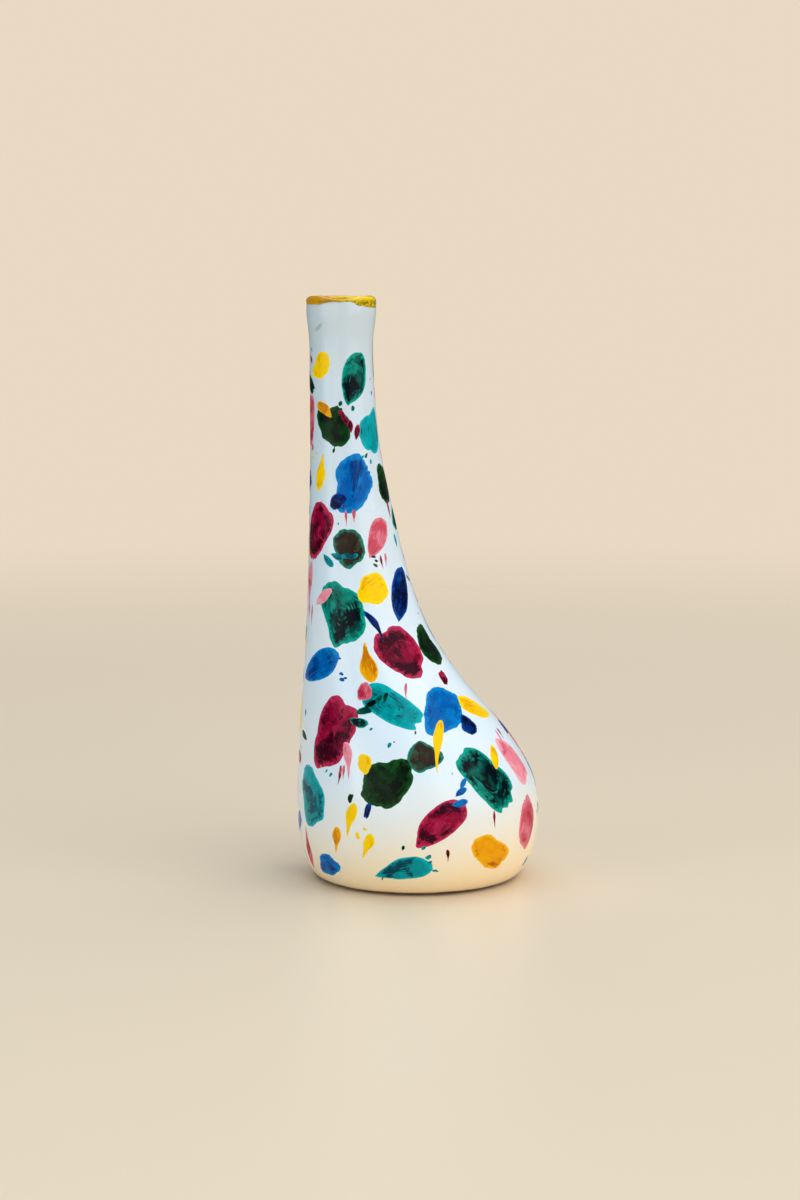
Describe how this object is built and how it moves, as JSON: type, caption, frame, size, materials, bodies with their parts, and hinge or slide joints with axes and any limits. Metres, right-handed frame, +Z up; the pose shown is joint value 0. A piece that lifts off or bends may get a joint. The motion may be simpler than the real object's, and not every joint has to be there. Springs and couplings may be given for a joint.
{
  "type": "oil cruet",
  "caption": "Leaning earthenware oil cruet: round belly, slender off-centre neck with a narrow bore, dipped yellow lip, white glaze outside and a glaze lining.",
  "frame": {"origin": "on the table, under the middle of the belly, which is the middle of the bounding box's base", "axes": "+Z up, +X towards the side on which the belly bulges and away from the neck, -Y towards the dip in the lip"},
  "size_m": [0.1134, 0.1134, 0.27],
  "materials": {
    "fired_clay": "matt, bare fired earthenware",
    "white_glaze": "glossy white glaze, hand-painted",
    "lining_glaze": "glossy off-white glaze",
    "yellow_glaze": "glossy golden-yellow glaze, uneven"
  },
  "bodies": {
    "root": {"clay_body": "fired_clay", "white_coat": "white_glaze", "glaze_lining": "lining_glaze", "lip_band": "yellow_glaze"}
  },
  "joints": []
}
